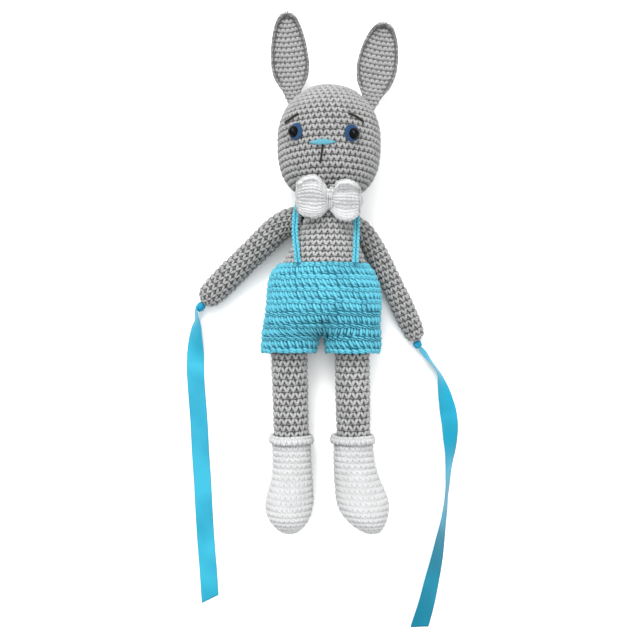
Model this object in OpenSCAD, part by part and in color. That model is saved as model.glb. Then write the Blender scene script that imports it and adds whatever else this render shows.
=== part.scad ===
// Crocheted bunny doll lying on its back: +Y to the head, +X to the right, +Z out of the front.
// The origin is on the flat back of the shorts, where the doll rests. Millimetres.

/* [Head] */
// Radius of the head at its widest
head_r = 34.6; // [33:0.1:36]
// Height of the head above its widest round
head_up = 37; // [35:0.5:39]
// Height of the head below its widest round
head_down = 42; // [41:0.5:43]
// Turn of the face about the neck, in degrees
face_turn = -7; // [-10:1:0]
// Angle of each eye from the middle of the face
eye_spread = 33; // [30:1:36]
// Radius of the domed safety eyes
eye_r = 3.6; // [3:0.1:4.5]
// Radius of the felt discs behind the eyes
felt_r = 5.5; // [5:0.1:6]
// Length of the left ear
left_ear_len = 53; // [48:1:56]
// Length of the right ear
right_ear_len = 50; // [46:1:54]

/* [Body] */
// Thickness of the crocheted fabric
wall = 1.8; // [1.4:0.1:2.2]
// Clearance between pieces that move apart
gap = 0.4; // [0.3:0.1:0.6]
// Radius of the left arm
left_arm_r = 9.2; // [8.5:0.1:9.4]
// Radius of the right arm
right_arm_r = 7.7; // [7:0.1:8]
// Length of the left arm from the shoulder's centre to the hand's centre
left_arm_len = 69.5; // [60:0.5:75]
// Length of the right arm from the shoulder's centre to the hand's centre
right_arm_len = 75.5; // [65:0.5:80]
// Radius of the left leg
left_leg_r = 12.4; // [11.5:0.1:12.8]
// Radius of the right leg
right_leg_r = 12; // [11.5:0.1:12.8]
// Length of the leg from the hip's centre to the bootie
leg_len = 70; // [66:1:74]

/* [Clothes] */
// Outer radius of each leg of the shorts
shorts_leg_r = 18.4; // [17.5:0.1:18.6]
// Thickness of the shorts' fabric
shorts_wall = 2; // [1.6:0.1:2.4]
// Depth of the shorts' legs below the hips' centres
shorts_hem = 10; // [8:0.5:14]
// Width of a suspender
strap_w = 3.7; // [3:0.1:4.5]
// Thickness of a suspender
strap_t = 1.8; // [1.4:0.1:2.2]
// Width of the satin ribbons
ribbon_w = 12; // [10:0.5:14]
// Thickness of the satin ribbons, as a stiff plate
ribbon_t = 0.6; // [0.4:0.1:1]

/* [Hidden] */

grey = "#a5a4a1";
turquoise = "#52aec5";
satin = "#40b8dc";
white = "#e8e8e5";
fill_white = "#f4f3ee";
fit = 0.5;             // between a skin and what fills it
sides = 24;            // points around a soft section
far = 300;             // longer than the doll
head_mid = 86;         // height of the head's widest round
left_eye_y = 86.5;     // height of each eye
right_eye_y = 84.3;
nose_y = 78.8;         // height of the nose
nose_turn = -8;        // of the nose's middle about the neck, in degrees
nose_arc = 28;         // that the nose spans
nose_h = 3.4;
shank_r = 1.2;         // of a safety eye
thread_r = 0.5;        // of the brows and the mouth

// Where the pieces turn
neck = [3.3, 47.5, 33];
left_shoulder = [-27.4, 31.9, 13.8];
right_shoulder = [28.2, 25.8, 12.6];
left_hand = [-77, -16.6, 9.3];
right_hand = [61, -42.3, 7.8];
left_hip = [-23.8, -47, 20];
right_hip = [19, -47, 20];
left_ankle = [-22.3, -117, 15.2];
right_ankle = [20.2, -117, 15.2];
left_knot = [-85.9, -25.6, 5.2];
right_knot = [65.7, -52.2, 4.6];
left_ear_root = [-21.8, 117.2, 33];
right_ear_root = [31.8, 113.6, 33];
left_ear_lean = 5;     // of an ear's axis from the head's axis, in degrees
right_ear_lean = -10;

// Stations down the torso: height, middle across, half width, middle of depth, half depth
torso_stations = [
    [46.5, 2.6, 13, 31.5, 12.6],
    [40, 2.5, 15, 31, 15],
    [30, 2.2, 17.2, 29.5, 17.2],
    [20, 1.2, 21.4, 27.6, 19.6],
    [8, 0.6, 26.8, 26.2, 22],
    [-4, 0, 31.6, 25.4, 23.2],
    [-16, -0.7, 35, 25, 23.4],
    [-28, -1.5, 36.4, 24.8, 23],
    [-33, -1.8, 36.2, 24.6, 22.4]];
// Stations down the shorts, the same way
shorts_stations = [
    [4, -0.3, 32.8, 25.2, 26],
    [-2, -0.8, 35.4, 25.2, 26.4],
    [-10, -0.4, 38.4, 25, 26.6],
    [-22, -0.4, 40, 24.8, 26.6],
    [-34, -1.6, 40.2, 24.6, 26]];
// Stations down a bootie: height, middle across, half width, lowest, highest
left_boot_stations = [
    [-119, -22.2, 13.2, 1.8, 28.6],
    [-128, -22, 13.4, 1.2, 29],
    [-140, -21.9, 14, 0.4, 31],
    [-149, -22.6, 15.2, 0.4, 36],
    [-158, -23.5, 16.4, 0.8, 41.5],
    [-165, -23.8, 15.7, 3, 43.5],
    [-171, -23.5, 13, 7.5, 42.5],
    [-175.5, -23.3, 9, 13.5, 38.5],
    [-178, -23.2, 4.5, 20, 32]];
right_boot_stations = [
    [-119, 20.2, 13.4, 1.8, 28.6],
    [-128, 20.5, 13.9, 1.2, 29],
    [-140, 22, 15.2, 0.4, 31],
    [-149, 24.3, 16.8, 0.4, 36],
    [-158, 26.4, 17.8, 0.8, 41.5],
    [-165, 27.7, 16.2, 3, 43.5],
    [-171, 28.8, 12.6, 7.5, 42.5],
    [-175.5, 29.7, 8, 13.5, 38.5],
    [-178, 30, 4, 20, 32]];
// Stations across the bow: across, middle height, half height, half thickness
bow_stations = [
    [-18.4, 44.6, 6, 0.8], [-16.5, 44.6, 10.5, 1.8], [-11, 44.5, 13.8, 2.4],
    [-4.5, 44, 11.4, 2.4], [-0.5, 43.6, 7.6, 2.6], [2.6, 43.4, 6.6, 2.6],
    [5.7, 43.2, 7.6, 2.6], [9.5, 42.8, 11.2, 2.4], [16, 42.6, 13.6, 2.4],
    [22, 42.6, 10.4, 1.8], [24.2, 42.6, 6, 0.8]];
// Routes of the suspenders, from the front waist over the shoulder to the back waist
left_strap_route = [
    [-17.8, 4.6, 45.6], [-18.4, 14, 43.4], [-19, 26, 41], [-18.4, 38, 37.4], [-16.6, 44, 31.5],
    [-15.4, 41, 22.5], [-13.6, 30, 13], [-11.6, 18, 6.8], [-10, 4.8, 3]];
right_strap_route = [
    [19.4, 4.6, 45.2], [20.4, 14, 42.8], [21.4, 26, 40.6], [21.4, 36, 37], [20.6, 42, 31],
    [19.2, 40, 21.5], [15.8, 30, 12.8], [12.6, 18, 6.6], [10, 4.8, 3]];
// Routes of the ribbons along the surface
left_ribbon_route = [
    [-86.6, -27.4, 3.6], [-89.4, -33, 1.6], [-90.4, -42, 0.4], [-90.4, -56, 0.4], [-89.4, -76, 0.4],
    [-88, -98, 0.4], [-86, -130, 0.4], [-83.8, -168, 0.4], [-81.4, -206, 0.4], [-79.8, -229, 0.4]];
right_ribbon_route = [
    [66.8, -54.2, 3.2], [69.6, -57.4, 1.6], [74.6, -63, 0.4], [80.4, -73.5, 0.4], [84.6, -85, 0.4],
    [87, -101, 0.4], [87.8, -118, 0.4], [86.8, -135, 0.4], [84.6, -158, 0.4], [81.6, -180, 0.4],
    [77.2, -204, 0.4], [72, -227, 0.4], [66.6, -249, 0.4]];

// Radius of the head at a height: an ellipse above, a fuller curve below
function head_radius(y) = y > head_mid
    ? head_r * sqrt(max(0, 1 - pow((y - head_mid) / head_up, 2)))
    : head_r * sqrt(1 - pow((head_mid - y) / head_down, 3));

// Points around a station: x and z on an ellipse, at one height
function section(y, cx, a, cz, b) =
    [for (i = [0:sides - 1]) [cx + a * cos(360 * i / sides), y, cz + b * sin(360 * i / sides)]];
function station(s, t) = section(s[0], s[1], s[2] - t, s[3], s[4] - t);
function boot_station(s, t) = section(s[0], s[1], s[2] - t, (s[3] + s[4]) / 2, (s[4] - s[3]) / 2 - t);
function turned_back(list) = [for (i = [len(list) - 1:-1:0]) list[i]];
function middle(ring) = [for (k = [0:2]) [for (p = ring) p[k]] * [for (p = ring) 1] / len(ring)];
function joined(rings) = [for (r = rings) for (p = r) p];

// A closed solid through rings of points, its first and last rings closed by fans
module loft(rings) {
    n = len(rings[0]);
    m = len(rings);
    skin = [for (j = [0:m - 2]) for (i = [0:n - 1]) for (f = [
        [j * n + i, j * n + (i + 1) % n, (j + 1) * n + i],
        [j * n + (i + 1) % n, (j + 1) * n + (i + 1) % n, (j + 1) * n + i]]) f];
    first = [for (i = [0:n - 1]) [(i + 1) % n, i, m * n]];
    last = [for (i = [0:n - 1]) [(m - 1) * n + i, (m - 1) * n + (i + 1) % n, m * n + 1]];
    polyhedron(concat(joined(rings), [middle(rings[0]), middle(rings[m - 1])]), concat(skin, first, last));
}

// A flat or round strip along a route: an ellipse with u across and the route's own normal
module strip(route, w, t, n = 8) {
    m = len(route);
    rings = [for (j = [0:m - 1])
        let(d = route[min(j + 1, m - 1)] - route[max(j - 1, 0)],
            u = [1, 0, 0] - d * (d[0] / (d * d)),
            a = u / norm(u),
            v = cross(a, d) / norm(d))
        [for (i = [0:n - 1]) route[j] + a * (w / 2 * cos(360 * i / n)) + v * (t / 2 * sin(360 * i / n))]];
    loft(rings);
}

// A flat plate along a route, with square edges
module tape(route, w, t) {
    m = len(route);
    rings = [for (j = [0:m - 1])
        let(d = route[min(j + 1, m - 1)] - route[max(j - 1, 0)],
            a = [d[1], -d[0], 0] / norm([d[0], d[1]]) * w / 2,
            v = [0, 0, t / 2])
        [route[j] - a - v, route[j] - a + v, route[j] + a + v, route[j] + a - v]];
    loft(rings);
}

// Everything below the surface that the doll rests on
module under_floor() {
    translate([-far / 2, -far / 2, -far]) cube([far, far, far]);
}

// The room that a leg of the shorts needs as it swings forward
module leg_room() {
    for (h = [left_hip, right_hip])
        translate([h[0], h[1], -far / 2]) cylinder(r = shorts_leg_r + gap, h = far, $fn = 64);
}

module torso_shell() {
    color(grey) difference() {
        loft(concat([for (s = turned_back(torso_stations)) station(s, 0)],
            [for (s = torso_stations) if (s[0] > -30) station(s, wall)]));
        leg_room();
    }
}

module torso_stuffing() {
    color(fill_white) difference() {
        loft([for (s = turned_back(torso_stations)) if (s[0] > -30)
            section(s[0] + (s[0] < -20 ? fit : 0), s[1], s[2] - wall - fit, s[3], s[4] - wall - fit)]);
        leg_room();
    }
}

// Whipped yarn that joins the head to the neck
module neck_seam() {
    color(grey) translate([neck[0] - 0.6, neck[1] - 0.1, neck[2] - 1.5]) rotate([90, 0, 0])
        rotate_extrude($fn = 64) translate([12.2, 0]) circle(r = 0.8, $fn = 24);
}

module shorts_body() {
    color(turquoise) difference() {
        loft([for (s = turned_back(shorts_stations)) station(s, 0)]);
        loft([for (s = turned_back(shorts_stations))
            section(s[0] + (s[0] > 0 ? 1 : s[0] < -30 ? -1 : 0), s[1], s[2] - shorts_wall,
                s[3] + 0.4, s[4] - shorts_wall - 0.6)]);
        leg_room();
        under_floor();
    }
}

module left_suspender() { color(turquoise) strip(left_strap_route, strap_w, strap_t); }
module right_suspender() { color(turquoise) strip(right_strap_route, strap_w, strap_t); }

// The bow leans on the chin: its upper half slopes forward
function bow_lean(y) = 51.2 + 0.66 * max(0, y - 38);
function bow_section(s) = [for (i = [0:sides - 1])
    let(y = s[1] + s[2] * cos(360 * i / sides))
    [s[0], y, bow_lean(y) + s[3] * sin(360 * i / sides)]];

module bow_tie() { color(white) loft(turned_back([for (s = bow_stations) bow_section(s)])); }

// Yarn wound round the middle of the bow
module bow_wrap() {
    wrap = [[-0.6, 7.9, 3.6], [2.6, 7.2, 3.6], [5.8, 7.9, 3.6]];
    outer = [for (s = wrap) bow_section([s[0], 43.4, s[1] + 1.6, s[2] + 0.9])];
    inner = [for (s = wrap) bow_section([s[0] + (s[0] - 2.6) * 0.3, 43.4, s[1] + 0.3, s[2] - 0.4])];
    color(white) difference() {
        loft(turned_back(outer));
        loft(turned_back(inner));
    }
}

// Half outline of the head, smaller by t, from its open foot to its crown
module head_outline(t, foot) {
    steps = 22;
    top = head_mid + head_up - t;
    curve = [for (i = [0:steps]) let(y = foot + (top - foot) * sin(90 * i / steps))
        [max(0, head_radius(min(y + (y > head_mid ? t : 0), head_mid + head_up)) - t * (1 - i / steps)), y]];
    polygon(concat([[0, foot]], [for (i = [0:steps - 1]) curve[i]], [[0, top]]));
}

module around_neck() { translate([neck[0], 0, neck[2]]) rotate([-90, 0, 0]) children(); }

// Turn and height of each eye on the face
eyes = [[-eye_spread, left_eye_y], [eye_spread, right_eye_y]];

// On the face: turned a degrees from its middle, at height y, +Z outwards
module on_face(a, y) {
    slope = atan((head_radius(y - 1) - head_radius(y + 1)) / 2);
    translate([neck[0], y, neck[2]]) rotate([0, face_turn + a, 0])
        translate([0, 0, head_radius(y)]) rotate([-slope, 0, 0]) children();
}
module shank_hole() {
    for (e = eyes)
        on_face(e[0], e[1]) translate([0, 0, -8]) cylinder(r = shank_r + 0.3, h = 16, $fn = 32);
}

// The head, smaller by t, flat where it rests
module head_form(t, foot) {
    difference() {
        around_neck() rotate_extrude($fn = 96) head_outline(t, foot);
        translate([0, 0, t]) under_floor();
    }
}

module head_shell() {
    color(grey) difference() {
        head_form(0, neck[1] + 1.2);
        head_form(wall, neck[1] + 0.2);
        shank_hole();
    }
}

module head_stuffing() {
    color(fill_white) difference() {
        head_form(wall + fit, neck[1] + 3);
        for (e = eyes)
            on_face(e[0], e[1]) translate([0, 0, -10]) cylinder(r = 5, h = 20, $fn = 48);
    }
}

// A domed eye with its shank, pushed through the felt and the fabric
module safety_eye(e) {
    color("#101012") on_face(e[0], e[1]) {
        translate([0, 0, 1.3]) intersection() {
            sphere(r = eye_r, $fn = 48);
            cylinder(r = eye_r, h = eye_r, $fn = 48);
        }
        translate([0, 0, -6.5]) cylinder(r = shank_r, h = 8, $fn = 24);
    }
}
module left_safety_eye() { safety_eye(eyes[0]); }
module right_safety_eye() { safety_eye(eyes[1]); }

// The washer that holds the eye from inside the head
module eye_washer(e) {
    color("#e0e0dc") on_face(e[0], e[1]) translate([0, 0, -4.2]) difference() {
        cylinder(r = 4.2, h = 1.4, $fn = 48);
        translate([0, 0, -1]) cylinder(r = shank_r, h = 4, $fn = 24);
    }
}
module left_eye_washer() { eye_washer(eyes[0]); }
module right_eye_washer() { eye_washer(eyes[1]); }

module eye_felt(e) {
    color("#1f7fc0") on_face(e[0], e[1]) translate([0, 0, 0.3]) difference() {
        cylinder(r = felt_r, h = 0.9, $fn = 48);
        translate([0, 0, -1]) cylinder(r = shank_r + 0.1, h = 4, $fn = 24);
    }
}
module left_eye_felt() { eye_felt(eyes[0]); }
module right_eye_felt() { eye_felt(eyes[1]); }

module eyebrow(a, y, tilt, len) {
    color("#3a2a22") on_face(a, y) translate([0, 0, 1.1]) rotate([0, 90, tilt])
        cylinder(r = thread_r, h = len, center = true, $fn = 16);
}
module left_eyebrow() { eyebrow(-39, 95.8, 19, 10.5); }
module right_eyebrow() { eyebrow(37.5, 95, -26, 10.5); }

// A satin-stitched bar across the face, along one round of the head
module nose_embroidery() {
    color(satin) translate([neck[0], nose_y, neck[2]]) rotate([-90, 0, 0])
        rotate_extrude(angle = nose_arc, start = -90 + nose_turn - nose_arc / 2, $fn = 96)
            translate([head_radius(nose_y) + 0.2, -nose_h / 2]) square([1, nose_h]);
}

module mouth_thread() {
    color("#3c342e") on_face(-2, 71.4) translate([0, 0, 0.9]) rotate([90, 0, 0])
        cylinder(r = thread_r, h = 9.4, center = true, $fn = 16);
}

// Half width of an ear along its length, 0 at the root and 1 at the tip
function ear_half(t, w, peak) = t < peak
    ? w * (0.46 + 0.54 * sin(90 * t / peak))
    : w * sqrt(max(0, 1 - pow((t - peak) / (1.001 - peak), 2)));
// A crescent section: its edges come forward of its middle
function ear_point(s, h, w, cup, t) = [w * s, h, cup * (s * s - 0.7) + t / 2 * (1 - s * s * s * s)];
function ear_section(h, w, cup, thick) = concat(
    [for (i = [-6:6]) ear_point(i / 6, h, w, cup, thick)],
    [for (i = [5:-1:-5]) ear_point(i / 6, h, w, cup, -thick)]);

module ear(root, lean, len, w, peak) {
    body = [for (t = [0.06, 0.14, 0.24, 0.34, 0.45, 0.56, 0.67, 0.77, 0.86, 0.93, 0.98, 0.999])
        ear_section(len * t, ear_half(t, w, peak), 5.5 * min(1, t * 4 + 0.2), 3.2)];
    foot = [ear_section(-2.8, 1.8, 0.3, 3), ear_section(-1, 3.4, 0.6, 3.6)];
    color(grey) translate(root) rotate([0, 0, lean]) loft(concat(foot, body));
}
module left_ear() { ear(left_ear_root, left_ear_lean, left_ear_len, 12.8, 0.36); }
module right_ear() { ear(right_ear_root, right_ear_lean, right_ear_len, 13.6, 0.42); }

// Half outline of a limb: a ball at the joint, a tapering tube and a round end
module limb_outline(r1, r2, len, round_end) {
    intersection() {
        union() {
            circle(r = r1, $fn = 64);
            polygon([[0, 0], [r1, 0], [r2, len], [0, len]]);
            if (round_end) translate([0, len]) circle(r = r2, $fn = 64);
        }
        translate([0, -far]) square([far, far + (round_end ? len + r2 : len)]);
    }
}

// Sends +Z from a to b
module from_to(a, b) {
    d = b - a;
    translate(a) rotate([0, acos(d[2] / norm(d)), atan2(d[1], d[0])]) children();
}

module arm_shell(a, b, len, r) {
    color(grey) from_to(a, b) rotate_extrude($fn = 64) difference() {
        limb_outline(r, r - 0.4, len, true);
        limb_outline(r - wall, r - 0.4 - wall, len, true);
        translate([0, -r - 1]) square([3, r / 2]);
    }
}
module arm_stuffing(a, b, len, r) {
    color(fill_white) from_to(a, b) rotate_extrude($fn = 64)
        limb_outline(r - wall - fit, r - 0.4 - wall - fit, len, true);
}
module left_arm_shell() { arm_shell(left_shoulder, left_hand, left_arm_len, left_arm_r); }
module left_arm_stuffing() { arm_stuffing(left_shoulder, left_hand, left_arm_len, left_arm_r); }
module right_arm_shell() { arm_shell(right_shoulder, right_hand, right_arm_len, right_arm_r); }
module right_arm_stuffing() { arm_stuffing(right_shoulder, right_hand, right_arm_len, right_arm_r); }

// The yarn that sews an arm to the torso: a ring just outside the arm's ball
module arm_seam(at, r, side) {
    color(grey) translate(at) rotate([0, side * 90, 0])
        rotate_extrude($fn = 48) translate([r * 0.62, r * 0.86]) circle(r = 0.6, $fn = 16);
}
module left_arm_seam() { arm_seam(left_shoulder, left_arm_r + 0.6, 1); }
module right_arm_seam() { arm_seam(right_shoulder, right_arm_r + 0.6, -1); }

module left_ribbon() { color(satin) tape(left_ribbon_route, ribbon_w, ribbon_t); }
module right_ribbon() { color(satin) tape(right_ribbon_route, ribbon_w, ribbon_t); }
// The knot that holds a ribbon to its hand, flat where the ribbon leaves it
module knot(at, ribbon_end) {
    color(satin) from_to(at, ribbon_end) difference() {
        sphere(r = 2.4, $fn = 32);
        translate([-5, -5, 1.2]) cube([10, 10, 10]);
    }
}
module left_ribbon_knot() { knot(left_knot, left_ribbon_route[1]); }
module right_ribbon_knot() { knot(right_knot, right_ribbon_route[1]); }

module leg_shell(a, b, r) {
    color(grey) from_to(a, b) rotate_extrude($fn = 64) difference() {
        limb_outline(r, r, leg_len, false);
        limb_outline(r - wall, r - wall, leg_len + 1, false);
        translate([0, -r - 1]) square([4, r / 2]);
    }
}
module leg_stuffing(a, b, r) {
    color(fill_white) from_to(a, b) rotate_extrude($fn = 64)
        limb_outline(r - wall - fit, r - wall - fit, leg_len, false);
}
module left_leg_shell() { leg_shell(left_hip, left_ankle, left_leg_r); }
module left_leg_stuffing() { leg_stuffing(left_hip, left_ankle, left_leg_r); }
module right_leg_shell() { leg_shell(right_hip, right_ankle, right_leg_r); }
module right_leg_stuffing() { leg_stuffing(right_hip, right_ankle, right_leg_r); }

// A bootie is a cup: its outer wall to the ankle, then its inner wall back to the toe
module bootie(stations) {
    n = len(stations);
    color(white) loft(concat([for (s = turned_back(stations)) boot_station(s, 0)],
        [for (i = [0:n - 2]) boot_station(stations[i], wall)]));
}
module foot_stuffing(stations) {
    n = len(stations);
    color(fill_white) loft([for (i = [n - 3:-1:0]) boot_station(stations[i], wall + fit + 0.2)]);
}
module left_bootie() { bootie(left_boot_stations); }
module right_bootie() { bootie(right_boot_stations); }
module left_foot_stuffing() { foot_stuffing(left_boot_stations); }
module right_foot_stuffing() { foot_stuffing(right_boot_stations); }

// The rolled cuff round the ankle
module bootie_cuff(at, r) {
    color(white) translate([at[0], at[1] + 1.2, at[2] + 0.1]) rotate([90, 0, 0])
        rotate_extrude($fn = 64) translate([r + 1.7, 0]) circle(r = 1.2, $fn = 24);
}
module left_bootie_cuff() { bootie_cuff(left_ankle, left_leg_r); }
module right_bootie_cuff() { bootie_cuff(right_ankle, right_leg_r); }

// A leg of the shorts: a loose tube under a dome that is centred on the hip
module shorts_leg(hip) {
    color(turquoise) translate(hip) rotate([90, 0, 0]) rotate_extrude($fn = 96) difference() {
        limb_outline(shorts_leg_r, shorts_leg_r, shorts_hem, false);
        limb_outline(shorts_leg_r - shorts_wall, shorts_leg_r - shorts_wall, shorts_hem + 1, false);
        translate([0, -shorts_leg_r - 1]) square([10, shorts_leg_r]);
    }
}
module left_shorts_leg() { shorts_leg(left_hip); }
module right_shorts_leg() { shorts_leg(right_hip); }

torso_shell();
torso_stuffing();
neck_seam();
shorts_body();
left_suspender();
right_suspender();
bow_tie();
bow_wrap();
head_shell();
head_stuffing();
left_safety_eye();
right_safety_eye();
left_eye_washer();
right_eye_washer();
left_eye_felt();
right_eye_felt();
left_eyebrow();
right_eyebrow();
nose_embroidery();
mouth_thread();
left_ear();
right_ear();
left_arm_shell();
left_arm_stuffing();
right_arm_shell();
right_arm_stuffing();
left_arm_seam();
right_arm_seam();
left_ribbon();
right_ribbon();
left_ribbon_knot();
right_ribbon_knot();
left_leg_shell();
left_leg_stuffing();
right_leg_shell();
right_leg_stuffing();
left_bootie();
left_foot_stuffing();
left_bootie_cuff();
right_bootie();
right_foot_stuffing();
right_bootie_cuff();
left_shorts_leg();
right_shorts_leg();
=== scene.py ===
"""A crocheted bunny doll on its back, in shorts with suspenders, a bow tie and booties.

Every knitted skin is worked the way the real one is: in rounds of stitches over a filled form.
Lengths are millimetres in the tables and functions, and become metres in the meshes.
"""

import bpy
import numpy as np
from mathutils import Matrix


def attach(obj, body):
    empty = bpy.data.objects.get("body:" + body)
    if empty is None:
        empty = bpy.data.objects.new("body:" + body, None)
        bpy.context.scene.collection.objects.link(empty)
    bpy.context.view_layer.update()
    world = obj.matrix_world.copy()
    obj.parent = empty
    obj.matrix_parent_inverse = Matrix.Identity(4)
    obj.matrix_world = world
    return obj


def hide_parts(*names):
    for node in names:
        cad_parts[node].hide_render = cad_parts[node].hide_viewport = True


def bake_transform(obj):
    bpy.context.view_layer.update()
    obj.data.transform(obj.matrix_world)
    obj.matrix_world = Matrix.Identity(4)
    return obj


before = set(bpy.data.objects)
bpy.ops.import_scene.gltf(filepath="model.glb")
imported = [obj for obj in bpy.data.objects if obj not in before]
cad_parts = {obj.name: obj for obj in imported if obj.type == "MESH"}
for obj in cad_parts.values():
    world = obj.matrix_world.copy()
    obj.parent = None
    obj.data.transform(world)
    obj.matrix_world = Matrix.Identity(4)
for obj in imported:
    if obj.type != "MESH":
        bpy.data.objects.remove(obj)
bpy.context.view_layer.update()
chance = np.random.default_rng(11)
MM = 0.001
TURN = 2 * np.pi
PLY = 1.1  # mm of yarn to one turn of its twist


# ---------------------------------------------------------------- camera, floor and light

CAMERA_AT = (-2.7, -34.0, 700.0)
camera_data = bpy.data.cameras.new("camera")
camera_data.sensor_width = 36
camera_data.lens = 56.25
camera_data.clip_start = 0.01
camera_data.clip_end = 20
camera = bpy.data.objects.new("camera", camera_data)
camera.location = tuple(d * MM for d in CAMERA_AT)
bpy.context.scene.collection.objects.link(camera)
bpy.context.scene.camera = camera


def soft_light(name, at, size, watts):
    """A square area light at a point, turned to the origin."""
    data = bpy.data.lights.new(name, "AREA")
    data.size = size
    data.energy = watts
    lamp = bpy.data.objects.new(name, data)
    lamp.location = at
    across = np.arctan2(np.hypot(at[0], at[1]), at[2])
    lamp.rotation_euler = (across, 0, np.arctan2(at[1], at[0]) + np.pi / 2)
    bpy.context.scene.collection.objects.link(lamp)


soft_light("window", (-0.3, 0.75, 0.95), 0.55, 12.5)
soft_light("overhead", (0.0, 0.4, 1.55), 1.6, 20)
soft_light("bounce", (0.9, -0.6, 0.6), 0.9, 3)


# ---------------------------------------------------------------- materials


def linear(hex_code):
    """An sRGB hex colour as linear RGBA."""
    c = np.array([int(hex_code[i:i + 2], 16) for i in (1, 3, 5)]) / 255
    c = np.where(c <= 0.04045, c / 12.92, ((c + 0.055) / 1.055) ** 2.4)
    return (*c, 1.0)


def add(tree, kind, settings=None, **inputs):
    """Adds a node. settings are its own properties; inputs are sockets by name, _ for a space
    and s0, s1 for a number, each a value or another node's output to link."""
    new = tree.nodes.new(kind)
    for key, value in (settings or {}).items():
        setattr(new, key, value)
    for key, value in inputs.items():
        numbered = key[0] == "s" and key[1:].isdigit()
        socket = new.inputs[int(key[1:]) if numbered else key.replace("_", " ")]
        if isinstance(value, bpy.types.NodeSocket):
            tree.links.new(value, socket)
        else:
            socket.default_value = value
    return new


def new_material(name):
    """An empty node material and its output node."""
    material = bpy.data.materials.new(name)
    material.use_nodes = True
    material.node_tree.nodes.clear()
    return material, material.node_tree, material.node_tree.nodes.new("ShaderNodeOutputMaterial")


def bands(period):
    """The scale that sets a wave texture's bands one period apart."""
    return TURN / 20 / period


def yarn(name, crown, deep, fuzz, twist=0.35):
    """Mercerised cotton yarn, spun and plied: matt, with a little fuzz. Its colour holds painted shade:
    it runs from crown to the dark deep colour where a strand dives into the fabric, and darkens in the
    grooves of the ply by twist, where shadow falls. The ply is a 1.1 mm twist, read from the strand's
    own UV map; the fibres are 0.25 mm and drawn at 0.5 mm so that they show."""
    material, tree, out = new_material(name)
    where = add(tree, "ShaderNodeTexCoord")
    depth = add(tree, "ShaderNodeAttribute", {"attribute_name": "depth"})
    ply = add(tree, "ShaderNodeTexWave", {"wave_type": "BANDS", "bands_direction": "X"},
              Vector=where.outputs["UV"], Scale=bands(1.0), Distortion=0.6)
    fibre = add(tree, "ShaderNodeTexNoise", Vector=where.outputs["Object"], Scale=2000.0, Detail=3.0)
    cloud = add(tree, "ShaderNodeTexNoise", Vector=where.outputs["Object"], Scale=90.0, Detail=2.0)
    # painted shade: the depth attribute mixes the colour towards deep, the shadow between stitches
    colour = add(tree, "ShaderNodeMix", {"data_type": "RGBA"},
                 Factor=depth.outputs["Fac"], s6=linear(deep), s7=linear(crown))
    # painted shade in the ply's grooves, as deep as twist; dyed below is real uneven dye
    grooves = add(tree, "ShaderNodeMapRange", Value=ply.outputs["Fac"], To_Min=1 - twist, To_Max=1.0)
    dyed = add(tree, "ShaderNodeMapRange", Value=cloud.outputs["Fac"], From_Min=0.3, From_Max=0.7,
               To_Min=0.94, To_Max=1.04)
    dye_and_groove_shade = add(tree, "ShaderNodeMath", {"operation": "MULTIPLY"},
               s0=grooves.outputs["Result"], s1=dyed.outputs["Result"])
    shaded = add(tree, "ShaderNodeVectorMath", {"operation": "SCALE"},
                 s0=colour.outputs[2], Scale=dye_and_groove_shade.outputs["Value"])
    relief = add(tree, "ShaderNodeMath", {"operation": "MULTIPLY_ADD"},
                 s0=ply.outputs["Fac"], s1=0.7, s2=fibre.outputs["Fac"])
    bump = add(tree, "ShaderNodeBump", Strength=0.5, Distance=0.25 * MM, Height=relief.outputs["Value"])
    shader = add(tree, "ShaderNodeBsdfPrincipled", Base_Color=shaded.outputs["Vector"], Roughness=0.85,
                 Specular_IOR_Level=0.2, Sheen_Weight=fuzz, Sheen_Roughness=0.5,
                 Normal=bump.outputs["Normal"])
    tree.links.new(shader.outputs["BSDF"], out.inputs["Surface"])
    return material


def satin(name, face, shade):
    """Woven polyester satin: long floats give a soft broad gloss on its face, and its back is
    darker. A broad noise paints highlight and shade along soft folds by moving the colour between face
    and shade; the weave is 0.2 mm and drawn at 0.45 mm. UV runs in mm along and across the ribbon."""
    material, tree, out = new_material(name)
    where = add(tree, "ShaderNodeTexCoord")
    floats = add(tree, "ShaderNodeTexWave", {"wave_type": "BANDS", "bands_direction": "Y"},
                 Vector=where.outputs["UV"], Scale=bands(0.45), Distortion=0.4)
    # painted highlight and painted shade of folds, from a broad noise
    folds = add(tree, "ShaderNodeTexNoise", Vector=where.outputs["Object"], Scale=38.0, Detail=1.0)
    depth = add(tree, "ShaderNodeAttribute", {"attribute_name": "depth"})
    painted_fold_light = add(tree, "ShaderNodeMapRange", Value=folds.outputs["Fac"], From_Min=0.35, From_Max=0.65,
                To_Min=-0.25, To_Max=0.25)
    side = add(tree, "ShaderNodeMath", {"operation": "ADD", "use_clamp": True},
               s0=depth.outputs["Fac"], s1=painted_fold_light.outputs["Result"])
    colour = add(tree, "ShaderNodeMix", {"data_type": "RGBA"},
                 Factor=side.outputs["Value"], s6=linear(shade), s7=linear(face))
    bump = add(tree, "ShaderNodeBump", Strength=0.25, Distance=0.1 * MM, Height=floats.outputs["Fac"])
    shader = add(tree, "ShaderNodeBsdfPrincipled", Base_Color=colour.outputs[2], Roughness=0.45,
                 Specular_IOR_Level=0.2, Anisotropic=0.5, Normal=bump.outputs["Normal"])
    tree.links.new(shader.outputs["BSDF"], out.inputs["Surface"])
    return material


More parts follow.
